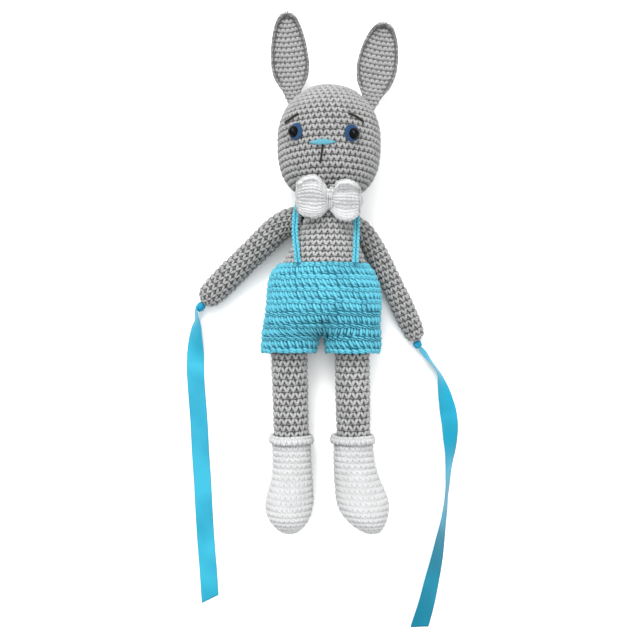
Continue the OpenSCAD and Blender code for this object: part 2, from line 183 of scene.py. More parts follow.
def felt(name, light, dark):
    """Pressed wool felt: a matt mat of 0.3 mm fibres, drawn at 0.5 mm."""
    material, tree, out = new_material(name)
    where = add(tree, "ShaderNodeTexCoord")
    mat = add(tree, "ShaderNodeTexNoise", Vector=where.outputs["Object"], Scale=2000.0, Detail=4.0)
    colour = add(tree, "ShaderNodeMix", {"data_type": "RGBA"},
                 Factor=mat.outputs["Fac"], s6=linear(dark), s7=linear(light))
    bump = add(tree, "ShaderNodeBump", Strength=0.8, Distance=0.2 * MM, Height=mat.outputs["Fac"])
    shader = add(tree, "ShaderNodeBsdfPrincipled", Base_Color=colour.outputs[2], Roughness=0.95,
                 Sheen_Weight=0.1, Normal=bump.outputs["Normal"])
    tree.links.new(shader.outputs["BSDF"], out.inputs["Surface"])
    return material


def moulded(name, light, dark, rough):
    """Injection-moulded plastic with a faint unevenness in its gloss."""
    material, tree, out = new_material(name)
    where = add(tree, "ShaderNodeTexCoord")
    flow = add(tree, "ShaderNodeTexNoise", Vector=where.outputs["Object"], Scale=500.0, Detail=2.0)
    colour = add(tree, "ShaderNodeMix", {"data_type": "RGBA"},
                 Factor=flow.outputs["Fac"], s6=linear(dark), s7=linear(light))
    bump = add(tree, "ShaderNodeBump", Strength=0.04, Distance=0.1 * MM, Height=flow.outputs["Fac"])
    shader = add(tree, "ShaderNodeBsdfPrincipled", Base_Color=colour.outputs[2], Roughness=rough,
                 Specular_IOR_Level=0.09, Normal=bump.outputs["Normal"])
    tree.links.new(shader.outputs["BSDF"], out.inputs["Surface"])
    return material


def paper_floor(name):
    """Matt white backdrop paper."""
    material, tree, out = new_material(name)
    where = add(tree, "ShaderNodeTexCoord")
    grain = add(tree, "ShaderNodeTexNoise", Vector=where.outputs["Object"], Scale=40.0, Detail=3.0)
    colour = add(tree, "ShaderNodeMix", {"data_type": "RGBA"},
                 Factor=grain.outputs["Fac"], s6=linear("#f7f7f6"), s7=linear("#fbfbfa"))
    shader = add(tree, "ShaderNodeBsdfPrincipled", Base_Color=colour.outputs[2], Roughness=0.95,
                 Specular_IOR_Level=0.1)
    tree.links.new(shader.outputs["BSDF"], out.inputs["Surface"])
    return material


# one grey yarn in two copies: the darker one on the head, ears, arms and seams is painted shade, the lighter
# one is on the torso and legs
shaded_grey_yarn = yarn("grey cotton yarn", "#9d9d9c", "#272727", 0.08)
lit_grey_yarn = yarn("grey cotton yarn, painted lighter", "#a9a9a8", "#292929", 0.08)
blue_yarn = yarn("turquoise cotton yarn", "#5fb9cd", "#016079", 0.04)
strap_yarn = yarn("turquoise cotton cord", "#62b9cc", "#1a7f97", 0.04)
white_yarn = yarn("white cotton yarn", "#bababa", "#b0b0b2", 0.06, twist=0.12)
brown_thread = yarn("brown embroidery thread", "#281d18", "#0f0b09", 0.1)
nose_thread = yarn("turquoise embroidery floss", "#5d9dad", "#3d8496", 0.1)
left_satin = satin("turquoise satin", "#2c97b0", "#0a7490")
# the right ribbon takes the same satin painted darker, as shade; its back side is mixed in by depth
right_satin = satin("turquoise satin, painted darker for the right ribbon", "#0a8ca8", "#07697f")
# the knots take the same satin in darker colours
knot_satin = satin("turquoise satin, darker for the knots", "#0f7f9f", "#0a6482")
eye_felt = felt("blue wool felt", "#15426a", "#081b33")
eye_plastic = moulded("black eye plastic", "#08080a", "#040405", 0.14)
washer_plastic = moulded("white washer plastic", "#e4e4e0", "#d6d6d2", 0.45)
backdrop = paper_floor("white backdrop paper")

world = bpy.data.worlds.new("studio")
world.use_nodes = True
world.node_tree.nodes["Background"].inputs["Color"].default_value = linear("#f4f6f8")
world.node_tree.nodes["Background"].inputs["Strength"].default_value = 0.95
bpy.context.scene.world = world
bpy.context.scene.view_settings.view_transform = "Standard"


# ---------------------------------------------------------------- shapes


def smooth(table, at):
    """Rows of a table at the values `at` of its first, rising column: a cubic between each two
    rows, whose slopes come from the rows on either side."""
    table = np.asarray(table, float)
    x, y = table[:, 0], table[:, 1:]
    slope = np.gradient(y, x, axis=0)
    at = np.clip(at, x[0], x[-1])
    k = np.clip(np.searchsorted(x, at) - 1, 0, len(x) - 2)
    h = (x[k + 1] - x[k])[..., None]
    t = (at - x[k])[..., None] / h
    return (y[k] * (1 + 2 * t) * (1 - t) ** 2 + y[k + 1] * t * t * (3 - 2 * t)
            + slope[k] * h * t * (1 - t) ** 2 + slope[k + 1] * h * t * t * (t - 1))


def ease(t):
    """From 0 to 1 along a smooth step, flat outside."""
    t = np.clip(t, 0, 1)
    return t * t * (3 - 2 * t)


def distances(route):
    """How far along a route each of its points lies."""
    return np.r_[0, np.cumsum(np.linalg.norm(np.diff(route, axis=0), axis=1))]


def rested(points):
    """Points pressed flat where the doll lies: heights under 1 mm crowd up towards 0.2 mm."""
    z = points[..., 2]
    low = 0.2 + 0.8 * np.exp(np.minimum(z - 1, 0) / 0.8)
    return np.concatenate([points[..., :2], np.where(z < 1, low, z)[..., None]], -1)


def stack(stations, pitch):
    """A skin through elliptic stations (y, middle x, half width, middle z, half depth), and its
    count of rounds. u is a turn about the skin; v counts rounds of one pitch from the first
    station to the last, measured along the skin."""
    table = np.array(stations, float)
    down = table[0, 0] > table[-1, 0]
    y = np.linspace(0, np.pi, 500)
    y = (table[0, 0] + table[-1, 0]) / 2 + (table[0, 0] - table[-1, 0]) / 2 * np.cos(y)
    at = smooth(table[::-1] if down else table, y)
    wide, deep = np.maximum(at[:, 1], 0), np.maximum(at[:, 3], 0)
    run = np.r_[0, np.cumsum(np.hypot(np.diff(y), np.diff(np.sqrt(wide * deep))))]
    rounds = max(1, round(run[-1] / pitch))

    def skin(u, v):
        s = np.clip(v, 0, rounds) / rounds * run[-1]
        a, b = np.interp(s, run, wide), np.interp(s, run, deep)
        x = np.interp(s, run, at[:, 0]) + a * np.sin(TURN * u)
        z = np.interp(s, run, at[:, 2]) + b * np.cos(TURN * u)
        return np.stack([x, np.interp(s, run, y), z], -1)
    return skin, rounds


def sleeve(route, radii, pitch):
    """A round-ended tube along a smooth route, and its count of rounds. radii are (distance, half
    width, half thickness) along it; the half width lies in the floor's plane."""
    route = np.array(route, float)
    far = distances(route)
    table = np.c_[far, route]
    radii = np.array(radii, float)
    s = (1 - np.cos(np.linspace(0, np.pi, 500))) / 2 * radii[-1, 0]
    a = np.maximum(smooth(radii, s)[:, 0], 0)
    run = np.r_[0, np.cumsum(np.hypot(np.diff(s), np.diff(a)))]
    rounds = max(1, round(run[-1] / pitch))
    tail = (table[-1, 1:] - table[-2, 1:]) / (far[-1] - far[-2])

    def skin(u, v):
        q = np.interp(np.clip(v, 0, rounds) / rounds * run[-1], run, s)
        over = np.maximum(q - far[-1], 0)[..., None]
        middle = smooth(table, q) + over * tail
        ahead = smooth(table, q + 0.5) - smooth(table, q - 0.5)
        ahead = np.where(over > 0, tail, ahead)
        side = np.stack([ahead[..., 1], -ahead[..., 0], 0 * q], -1)
        side /= np.linalg.norm(side, axis=-1, keepdims=True)
        up = np.cross(side, ahead)
        up /= np.linalg.norm(up, axis=-1, keepdims=True)
        size = np.maximum(smooth(radii, q), 0)
        return (middle + side * size[..., :1] * np.sin(TURN * u)[..., None]
                + up * size[..., 1:] * np.cos(TURN * u)[..., None])
    return skin, rounds


def across_slopes(skin, u, v):
    """The cross product of a skin's slopes over u and over v, not yet of length 1."""
    e = 2e-3
    return np.cross(skin(u + e, v) - skin(u - e, v), skin(u, v + e) - skin(u, v - e))


def lift(skin, u, v, h, side):
    """Points h mm out of a skin. side is 1 or -1, from outside()."""
    n = across_slopes(skin, u, v)
    n /= np.linalg.norm(n, axis=-1, keepdims=True) + 1e-9
    return skin(u, v) + side * n * np.asarray(h)[..., None]


def outside(skin, rounds):
    """1 or -1: which way a skin's cross products point, from the sign of the volume it encloses."""
    u, v = np.meshgrid(np.linspace(0, 1, 48), np.linspace(0.01, rounds - 0.01, 40), indexing="ij")
    p = skin(u, v)
    return np.sign(np.sum(across_slopes(skin, u, v) * (p - p.mean((0, 1)))))


def volume(points, faces):
    """Six times the volume inside faces of one size, as a sum of tetrahedra from the origin."""
    p = points[faces]
    return sum(np.sum(p[:, 0] * np.cross(p[:, k], p[:, k + 1])) for k in range(1, faces.shape[1] - 1))


def tube_faces(rings, sides):
    """The quads of rings of points, numbered ring by ring, and the first and last rings as caps."""
    j, i = np.meshgrid(np.arange(rings - 1), np.arange(sides), indexing="ij")
    k = (i + 1) % sides
    quads = np.stack([j * sides + i, j * sides + k, (j + 1) * sides + k, (j + 1) * sides + i], -1)
    caps = np.array([np.arange(sides)[::-1], (rings - 1) * sides + np.arange(sides)])
    return quads.reshape(-1, 4), caps


def unmarked(faces):
    """Faces for Cloth.patch whose UV map is left at zero."""
    return faces, np.zeros((*faces.shape, 2))


class Cloth:
    """Gathers patches of points and faces into one mesh, with a depth at each point, from 0 in the
    fabric to 1 on a strand's crown, and a UV map in mm."""

    def __init__(self):
        self.points, self.depth, self.faces, self.uv, self.count = [], [], [], [], 0

    def patch(self, points, depth, groups):
        """groups are (faces, uv) with faces as rows of point numbers and uv for each corner."""
        points = points.reshape(-1, 3)
        flip = sum(volume(points, f) for f, _ in groups) < 0
        for f, uv in groups:
            f, uv = (f[:, ::-1], uv[:, ::-1]) if flip else (f, uv)
            self.faces.append(f + self.count)
            self.uv.append(uv)
        self.points.append(points)
        self.depth.append(np.broadcast_to(depth, points.shape[0]).astype(float))
        self.count += len(points)

    def piece(self, name, material, body=None, blend=None, replaces=()):
        """Makes the mesh and hides the parts it replaces. Given a body, it rides on that body's empty;
        given blend, it is left on its own with its transform baked in.
        """
        points = rested(np.concatenate(self.points)) * MM
        data = bpy.data.meshes.new(name)
        sizes = np.concatenate([np.full(len(f), f.shape[1]) for f in self.faces])
        data.vertices.add(len(points))
        data.vertices.foreach_set("co", points.astype(np.float32).ravel())
        data.loops.add(int(sizes.sum()))
        data.loops.foreach_set("vertex_index", np.concatenate([f.ravel() for f in self.faces]))
        data.polygons.add(len(sizes))
        data.polygons.foreach_set("loop_start", np.r_[0, np.cumsum(sizes)[:-1]].astype(np.int32))
        data.update(calc_edges=True)
        layer = data.uv_layers.new(name="strand")
        layer.uv.foreach_set("vector", np.concatenate([t.reshape(-1) for t in self.uv]).astype(np.float32))
        # depth also serves as a tone: the yarn paints shade by it, and satin picks its face or back by it
        mark = data.attributes.new("depth", "FLOAT", "POINT")
        mark.data.foreach_set("value", np.concatenate(self.depth).astype(np.float32))
        data.shade_smooth()
        data.materials.append(material)
        obj = bpy.data.objects.new(name, data)
        bpy.context.scene.collection.objects.link(obj)
        if replaces:
            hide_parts(*replaces)
        if blend:
            start, end = (tuple(np.array(p) * MM) for p in blend[2:])
            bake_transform(obj)
        else:
            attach(obj, body)
        return obj


# ---------------------------------------------------------------- stitches

# A strand is (points of its middle line, thickest radius): a is across the stitch in stitch
# widths, b down it in rows, h out of the fabric in mm. Its radius falls to the ends like a grain's.
SINGLE = [
    ([(-0.50, 0.54, -1.70), (-0.42, 0.26, -1.22), (-0.29, -0.08, -1.08), (-0.14, -0.34, -1.2),
      (-0.04, -0.54, -1.8)], 1.08),
    ([(0.48, 0.56, -1.70), (0.42, 0.26, -1.18), (0.30, -0.08, -1.02), (0.14, -0.34, -1.15),
      (0.02, -0.54, -1.8)], 1.16),
    ([(-0.30, 0.46, -1.75), (-0.10, 0.36, -1.45), (0.12, 0.32, -1.45), (0.32, 0.34, -1.75)], 0.55)]
RIB = [
    ([(0.0, -0.85, -2.2), (0.07, -0.4, -1.95), (-0.07, 0.0, -1.85), (0.07, 0.4, -1.95),
      (0.0, 0.85, -2.2)], 1.85)]
HALF_DOUBLE = [
    ([(-0.62, -0.46, -1.7), (-0.32, -0.45, -1.15), (0.02, -0.41, -1.0), (0.34, -0.34, -1.1),
      (0.64, -0.26, -1.7)], 1.02),
    ([(-0.60, -0.30, -1.75), (-0.2, -0.27, -1.35), (0.2, -0.22, -1.3), (0.6, -0.14, -1.75)], 0.85),
    ([(-0.50, -0.24, -1.75), (-0.38, -0.06, -1.2), (-0.20, 0.14, -1.1), (0.00, 0.34, -1.2),
      (0.14, 0.52, -1.8)], 1.12),
    ([(-0.02, -0.18, -1.8), (0.12, 0.00, -1.3), (0.32, 0.16, -1.3), (0.54, 0.34, -1.8)], 0.95),
    ([(0.02, 0.50, -1.8), (0.2, 0.40, -1.35), (0.4, 0.42, -1.35), (0.6, 0.54, -1.8)], 0.7)]
CHAIN = [
    ([(-0.1, 0.6, -1.2), (-0.40, 0.2, -0.7), (-0.36, -0.25, -0.7), (0.0, -0.55, -1.2)], 0.75),
    ([(0.1, 0.6, -1.2), (0.40, 0.2, -0.7), (0.36, -0.25, -0.7), (0.0, -0.55, -1.2)], 0.75)]


def corners(count, sides):
    """The number of each quad's four corners round its tube, with the seam's far side at sides."""
    return np.stack([np.arange(count) % sides + k for k in (0, 1, 1, 0)], -1)


def strands(pattern, wide, tall, thick):
    """The points of one stitch (a, b, h), how deep each lies, and its faces. A ring of points goes
    round the middle line of each strand; its radius is r (0.3 + 0.7 sin(pi t)^0.6)."""
    points, groups, count = [], [], 0
    for line, radius in pattern:
        line = np.array([(a * wide, b * tall, h) for a, b, h in line])
        n, k = (6, 6) if radius > 0.65 else (4, 4)
        t = np.linspace(0, 1, n)
        middle = smooth(np.c_[np.linspace(0, 1, len(line)), line], t)
        ahead = np.gradient(middle, axis=0)
        across = np.stack([ahead[:, 1], -ahead[:, 0], 0 * t], -1)
        across /= np.linalg.norm(across, axis=1, keepdims=True)
        r = radius * thick * (0.3 + 0.7 * np.sin(np.pi * t) ** 0.6)
        angle = TURN * np.arange(k) / k
        ring = (middle[:, None] + r[:, None, None] * (across[:, None] * np.cos(angle)[:, None]
                + np.array([0, 0, 1]) * np.sin(angle)[:, None]))
        length = np.linalg.norm(np.diff(line, axis=0), axis=1).sum()
        quads, caps = tube_faces(n, k)
        j, i = quads // k, corners(len(quads), k)
        uv = np.stack([j / (n - 1) * length / PLY + i / k, j / (n - 1) * length], -1)
        groups.append((quads + count, uv))
        groups.append(unmarked(caps + count))
        ring[..., 0] /= wide
        ring[..., 1] /= tall
        points.append(ring.reshape(-1, 3))
        count += n * k
    points = np.concatenate(points)
    # the tone falls with depth: painted shade where a strand dives into the fabric
    return points, np.clip((points[:, 2] + 2.0) / 1.6, 0, 1), groups


def crochet(cloth, skin, rounds, wide, pattern=SINGLE, slant=0.25, first=0, last=None,
            inset=1.6, thick=1.0, rough=1.0, even=0.0, backing=(0.0, None), fixed=None):
    """Works rounds of stitches onto a skin, over a backing that lies inset mm inside it and is painted
    dark as the shade seen through the holes. Each round holds as many stitches as fit at its own
    width, or fixed of them, and starts slant of a stitch further on than the last. A stitch is off by
    about 4% in width, 3% in place and 0.06 mm in height, times rough; even lightens the painted shade
    of what lies deep."""
    side = outside(skin, rounds)
    last = rounds if last is None else last
    turns = np.linspace(0, 1, 65)
    u_all, v_all, n_all = [], [], []
    for row in range(first, last):
        loop = skin(turns, np.full(65, row + 0.5))
        size = np.linalg.norm(np.diff(loop, axis=0), axis=1).sum()
        n = fixed or max(4, round(size / wide))
        u_all.append((np.arange(n) + slant * row) / n)
        v_all.append(np.full(n, row + 0.5))
        n_all.append(np.full(n, n))
    u, v, n = (np.concatenate(x) for x in (u_all, v_all, n_all))
    tall = np.linalg.norm(skin(np.zeros(1), np.array([(first + last) / 2 + 0.5]))
                          - skin(np.zeros(1), np.array([(first + last) / 2 - 0.5])))
    shape, depth, groups = strands(pattern, wide, max(tall, 1.0), thick)
    m = len(u)
    shake = chance.normal(size=(m, 4)) * rough
    a = shape[:, 0] * (1 + 0.04 * shake[:, :1]) + 0.03 * shake[:, 1:2]
    b = shape[:, 1] + 0.03 * shake[:, 2:3]
    h = shape[:, 2] + 0.06 * shake[:, 3:4]
    points = lift(skin, u[:, None] + a / n[:, None], v[:, None] + b, h, side)
    tone = np.clip(depth * (1 + 0.06 * shake[:, :1]), 0, 1)
    tone += (1 - tone) * even
    step = np.arange(m)[:, None, None] * len(shape)
    cloth.patch(points, tone.ravel(), [((f[None] + step).reshape(-1, f.shape[1]),
                np.broadcast_to(uv[None], (m, *uv.shape)).reshape(-1, *uv.shape[1:])) for f, uv in groups])
    low, high = backing[0], rounds if backing[1] is None else backing[1]
    # the backing's dark tone is painted shade, lightened by even
    shaded_backing(cloth, skin, side, low, high, inset, 0.2 + 0.6 * even)


def shaded_backing(cloth, skin, side, low, high, inset, tone):
    """The closed backing of a skin between rounds low and high: its rings, inset mm inside, and caps.
    Its dark tone is painted shade.
    """
    rings, round_points = max(6, int((high - low) * 3)), 40
    v, u = np.meshgrid(np.linspace(low, high, rings), np.arange(round_points) / round_points, indexing="ij")
    points = lift(skin, u, v, np.full(u.shape, -inset), side)
    quads, caps = tube_faces(rings, round_points)
    cloth.patch(points, tone, [unmarked(quads), unmarked(caps)])


def cord_round(cloth, route, radius, tone=0.75, sides=8, steps=None):
    """One strand of yarn along a smooth route: a ring of points round each step, which thins to a
    quarter of the radius at its ends."""
    route = np.array(route, float)
    far = distances(route)
    steps = steps or max(8, int(far[-1] / 0.7))
    t = np.linspace(0, far[-1], steps)
    middle = smooth(np.c_[far, route], t)
    ahead = np.gradient(middle, axis=0)
    ahead /= np.linalg.norm(ahead, axis=1, keepdims=True)
    side = np.cross(ahead, [0.21, 0.33, 0.92])
    side /= np.linalg.norm(side, axis=1, keepdims=True)
    up = np.cross(side, ahead)
    r = radius * (0.25 + 0.75 * np.clip(6 * t / far[-1] * (1 - t / far[-1]), 0, 1) ** 0.5)
    angle = TURN * np.arange(sides) / sides
    ring = middle[:, None] + r[:, None, None] * (side[:, None] * np.cos(angle)[:, None]
                                                 + up[:, None] * np.sin(angle)[:, None])
    quads, caps = tube_faces(steps, sides)
    j, i = quads // sides, corners(len(quads), sides)
    uv = np.stack([j * far[-1] / steps / PLY + i / sides, j * far[-1] / steps], -1)
    cloth.patch(ring, tone, [(quads, uv), unmarked(caps)])


# ---------------------------------------------------------------- head

NECK = np.array([3.3, 47.5, 33.0])
FACE_TURN = -7.0
HEAD_HALF = 34.6
WIDEST = 86.0
CROWN = 36.4
ROUND_RISE = 0.1
EYES = ((-33.0, 86.5), (33.0, 84.3))


def head_radius(y):
    """An ellipse above the widest round, and a fuller curve below it."""
    above = HEAD_HALF * np.sqrt(np.maximum(0, 1 - ((y - WIDEST) / CROWN) ** 2))
    below = HEAD_HALF * np.sqrt(np.maximum(0, 1 - (np.maximum(WIDEST - y, 0) / 42) ** 3))
    return np.where(y > WIDEST, above, below)


down_head = np.linspace(1, -1, 61)
head_y = WIDEST + np.where(down_head > 0, CROWN, 37.3) * np.sin(down_head * np.pi / 2)
head_table = [(y, NECK[0], r, NECK[2], r) for y, r in zip(head_y, head_radius(head_y))]
head_table += [(47.6, NECK[0], 16.5, NECK[2], 16.5), (46.6, NECK[0], 13.0, NECK[2], 13.0)]
head_round, head_rounds = stack(head_table, 3.95)


def head_skin(u, v):
    """The head's rounds, whose front rides up a little as they do over a full chin."""
    p = head_round(u, v)
    rise = ROUND_RISE * np.sin(np.pi * np.clip(v / head_rounds, 0, 1)) ** 0.7
    p[..., 1] = p[..., 1] + rise * (p[..., 2] - NECK[2])
    return p


head = Cloth()
crochet(head, head_skin, head_rounds, 4.1, slant=0.3, last=10, thick=1.08, even=0.35, backing=(0, 10))
crochet(head, head_skin, head_rounds, 4.1, slant=0.3, first=10, backing=(10, None))
head.piece("head", shaded_grey_yarn, body="head", replaces=["head_shell", "head_stuffing"])


def on_face(turn, y, h=0.0):
    """Points h mm off the head, turned from the middle of the face by degrees, at heights y."""
    turn, y, h = np.broadcast_arrays(np.asarray(turn, float), np.asarray(y, float), np.asarray(h, float))
    a = np.radians(FACE_TURN + turn)
    slope = np.arctan((head_radius(y - 1) - head_radius(y + 1)) / 2)
    out = np.stack([np.sin(a) * np.cos(slope), np.sin(slope), np.cos(a) * np.cos(slope)], -1)
    risen = y - ROUND_RISE * head_radius(y) * np.cos(a)
    at = np.stack([np.sin(a), 0 * a, np.cos(a)], -1) * head_radius(risen)[..., None]
    at = at + np.stack([NECK[0] + 0 * a, y, NECK[2] + 0 * a], -1)
    return at + out * h[..., None]


def embroidered(name, start, end, bow, radius, node, h=0.5):
    """One stitch of brown thread from start to end on the face, each (degrees, height), whose ends
    go into the fabric. Its middle stands off the straight line by bow: 4 t (1 - t) times bow at t."""
    t = np.array([0, 0.055, 0.35, 0.65, 0.945, 1])
    start, end, bow = np.array(start), np.array(end), np.array(bow)
    turns, heights = (start + (end - start) * t[:, None] + bow * (4 * t * (1 - t))[:, None]).T
    work = Cloth()
    cord_round(work, on_face(turns, heights, [-1.2, h, h, h, h, -1.2]), radius, tone=0.8)
    work.piece(name, brown_thread, body="head", replaces=[node])


embroidered("left_brow", (-49.5, 93.6), (-29.3, 97.7), (0, -0.2), 0.72, "left_eyebrow")
embroidered("right_brow", (28.3, 96.7), (46.4, 92.1), (0, 1.1), 0.75, "right_eyebrow")
embroidered("mouth", (-0.1, 77.8), (-3.6, 65.6), (0.5, 0), 0.62, "mouth_thread", h=0.75)

nose = Cloth()
spread = np.array([-1, -0.93, -0.5, 0, 0.5, 0.93, 1])
for lane in np.linspace(-1, 1, 7):
    reach = 14.0 * np.sqrt(1.08 - lane * lane * 0.6)
    belly = 1.4 * lane * np.sqrt(1 - 0.86 * spread ** 2)
    off = 0.75 - 0.35 * lane * lane + np.array([-1.3, -0.3, 0.1, 0.2, 0.1, -0.3, -1.3])
    cord_round(nose, on_face(-0.8 + spread * reach, 78.7 + belly, off), 0.42, tone=0.85)
nose.piece("nose", nose_thread, body="head", replaces=["nose_embroidery"])


def felt_disc(name, eye, shift, node):
    """A hand-cut disc behind an eye: rings of points on the head, with an uneven rim and a domed edge."""
    rings, spokes = 7, 40
    turn, height = eye
    share, angle = np.meshgrid([0, 0.25, 0.5, 0.75, 0.93, 1, 0.96], TURN * np.arange(spokes) / spokes,
                               indexing="ij")
    rim = 5.5 * (1 + 0.03 * np.sin(3 * angle + turn) + 0.02 * np.sin(7 * angle))
    x, y = share * rim * np.cos(angle) + shift[0], share * rim * np.sin(angle) + shift[1]
    h = np.array([1.15, 1.15, 1.15, 1.12, 0.95, 0.5, -0.4])[:, None] + 0 * angle
    points = on_face(turn + np.degrees(x / HEAD_HALF), height + y, h)
    quads, caps = tube_faces(rings, spokes)
    disc = Cloth()
    disc.patch(points, 1.0, [unmarked(quads), unmarked(caps)])
    disc.piece(name, eye_felt, body="head", replaces=[node])


felt_disc("left_felt", EYES[0], (1.0, 0.1), "left_eye_felt")
felt_disc("right_felt", EYES[1], (-0.9, 0.5), "right_eye_felt")


# ---------------------------------------------------------------- ears


def ear(name, root, lean, length, half, peak, node, body):
    """A cupped ear: crescent rounds whose edges come forward, from inside the head to the tip.
    The half width is w (0.46 + 0.54 sin) up to its peak and an ellipse beyond."""
    lean = np.radians(lean)
    h = -7 + (length + 7) * np.sin(np.linspace(0, np.pi / 2, 80))
    share = np.clip(h / length, 0, 1)
    wide = np.where(share < peak, half * (0.46 + 0.54 * np.sin(np.pi / 2 * share / peak)),
                    half * np.sqrt(np.maximum(0, 1 - ((share - peak) / (1 - peak)) ** 2)))
    wide = wide * (1 - 0.4 * ease(-h / 7))
    run = np.r_[0, np.cumsum(np.hypot(np.diff(h), np.diff(wide)))]
    rounds = round(run[-1] / 3.3)

    def skin(u, v):
        s = np.clip(v, 0, rounds) / rounds * run[-1]
        w = np.interp(s, run, wide)
        up = np.interp(s, run, h)
        cup = 5.5 * np.clip(up / length * 4 + 0.3, 0.1, 1) * np.clip(w / 6, 0, 1)
        across = 0.3 * np.sin(TURN * u) + 0.7 * np.arcsin(np.sin(TURN * u)) * 2 / np.pi
        edge = np.sign(np.cos(TURN * u)) * np.sqrt(1 - np.clip(across ** 4, 0, 1))
        z = cup * (across ** 2 - 0.7) + 1.9 * edge * np.clip(w / 3, 0, 1)
        x = w * across
        return np.stack([root[0] + x * np.cos(lean) - up * np.sin(lean),
                         root[1] + x * np.sin(lean) + up * np.cos(lean), root[2] + z], -1)

    work = Cloth()
    crochet(work, skin, rounds, 3.1, slant=0.5, inset=0.8, thick=0.97, even=0.25)
    along = np.array([-np.sin(lean), np.cos(lean), 0])
    base, top = np.array(root) - along * 3, np.array(root) + along * 4
    work.piece(name, shaded_grey_yarn, blend=("head", body, base, top), replaces=[node])


ear("left_ear_cup", (-21.2, 117.2, 33), 4.2, 53.6, 12.9, 0.36, "left_ear", "left_ear_body")
ear("right_ear_cup", (31.6, 113.6, 33), -10, 50.8, 13.8, 0.42, "right_ear", "right_ear_body")


# ---------------------------------------------------------------- torso and arms

torso_table = [
    (49, 2.8, 12.6, 32, 12.4), (46.5, 2.6, 13, 31.5, 12.6), (40, 2.5, 15, 31, 15),
    (30, 2.2, 17.2, 29.5, 17.2), (20, 1.2, 21.4, 27.6, 19.6), (8, 0.6, 26.8, 26.2, 22),
    (-4, 0, 31.6, 25.4, 23.2), (-16, -0.7, 34, 25, 23.0)]
torso_skin, torso_rounds = stack(torso_table, 4.05)
torso = Cloth()
crochet(torso, torso_skin, torso_rounds, 4.1, slant=0.2, last=torso_rounds - 2, thick=0.95)
torso.piece("torso", lit_grey_yarn, body="torso",
            replaces=["torso_shell", "torso_stuffing"])

seam = Cloth()
for k in range(22):
    a = TURN * k / 22
    spoke = np.array([np.sin(a), 0, np.cos(a)])
    steps = [NECK + spoke * r + [0, y, -1.5] for r, y in
             ((12.0, -2.6), (13.6, -1.6), (15.0, 0.2), (14.6, 1.8), (13.0, 2.6))]
    cord_round(seam, steps, 0.75, sides=6, steps=7)
seam.piece("neck_whipping", shaded_grey_yarn, body="torso", replaces=["neck_seam"])


def arm(name, route, radius, hand_radius, body, nodes, shoulder, inner):
    """A stuffed tube with a round hand, sewn flat to the torso at its inner end."""
    far = distances(np.array(route, float))[-1]
    quarter = np.linspace(0, 1, 7)[1:] * np.pi / 2
    end = [(far + d, r, r) for d, r in zip(hand_radius * np.sin(quarter), hand_radius * np.cos(quarter))]
    radii = [(0, radius * 0.92, radius * 0.95), (far * 0.2, radius, radius),
             (far * 0.6, radius * 0.985, radius), (far, hand_radius, hand_radius)] + end
    skin, rounds = sleeve(route, radii, 4.15)
    work = Cloth()
    crochet(work, skin, rounds, 4.7, slant=0.3)
    work.piece(name, shaded_grey_yarn, blend=("torso", body, inner, shoulder), replaces=nodes)


arm("left_arm_skin", [(-11, 34.4, 20), (-18, 34.6, 16.5), (-25.8, 32.4, 14.2), (-33.6, 27.0, 13.4),
                      (-42.8, 18.2, 12.6), (-60, 1.6, 11), (-77.6, -16.0, 9.3)], 9.6, 8.9, "left_arm",
    ["left_arm_shell", "left_arm_stuffing"], (-31, 30, 14), (-18, 33, 14))
arm("right_arm_skin", [(9, 34, 21), (17, 32, 17), (25.8, 26.4, 14), (33.2, 16.4, 12.6),
                       (39.8, 5, 11.6), (50.6, -17, 9.9), (62, -41.8, 7.8)], 7.9, 7.4, "right_arm",
    ["right_arm_shell", "right_arm_stuffing"], (30, 22, 13), (18, 31, 13))


def sewn_ring(name, at, out, radius, node):
    """Overcast stitches that join an arm to the torso: short strands across a ring about the
    direction out."""
    out = np.array(out, float) / np.linalg.norm(out)
    side = np.cross(out, [0, 0, 1])
    side /= np.linalg.norm(side)
    up = np.cross(side, out)
    work = Cloth()
    for k in range(14):
        a = TURN * k / 14
        spoke = side * np.cos(a) + up * np.sin(a)
        steps = [np.array(at) + spoke * radius * r + out * d for r, d in
                 ((0.92, -2.2), (1.05, -1.0), (1.08, 0.6), (0.94, 2.0))]
        cord_round(work, steps, 0.7, sides=6, steps=6)
    work.piece(name, shaded_grey_yarn, body="torso", replaces=[node])


sewn_ring("left_overcast", (-15.5, 34.0, 18), (-1, 0.1, -0.4), 8.0, "left_arm_seam")
sewn_ring("right_overcast", (15.5, 32.2, 17.5), (0.9, -0.3, -0.4), 7.0, "right_arm_seam")


# ---------------------------------------------------------------- legs and booties


def leg(name, hip, ankle, radius, body, nodes):
    """A straight stuffed tube from inside the shorts to inside the bootie."""
    hip, ankle = np.array(hip, float), np.array(ankle, float)
    length = np.linalg.norm(ankle - hip)
    route = [hip + (ankle - hip) * t for t in (0, 0.25, 0.5, 0.75, 1)]
    bulge = [(0, radius, radius), (length * 0.3, radius, radius), (length * 0.7, radius * 0.99, radius),
             (length, radius * 0.97, radius * 0.97)]
    skin, rounds = sleeve(route, bulge, 4.3)
    work = Cloth()
    crochet(work, skin, rounds, 5.2, slant=0.28, thick=1.05, rough=1.1)
    work.piece(name, lit_grey_yarn, body=body, replaces=nodes)


leg("left_leg_skin", (-23.8, -47, 20), (-22.3, -117.5, 15.2), 12.4, "left_leg",
    ["left_leg_shell", "left_leg_stuffing"])
leg("right_leg_skin", (19, -47, 20), (20.2, -117.5, 15.2), 12.0, "right_leg",
    ["right_leg_shell", "right_leg_stuffing"])

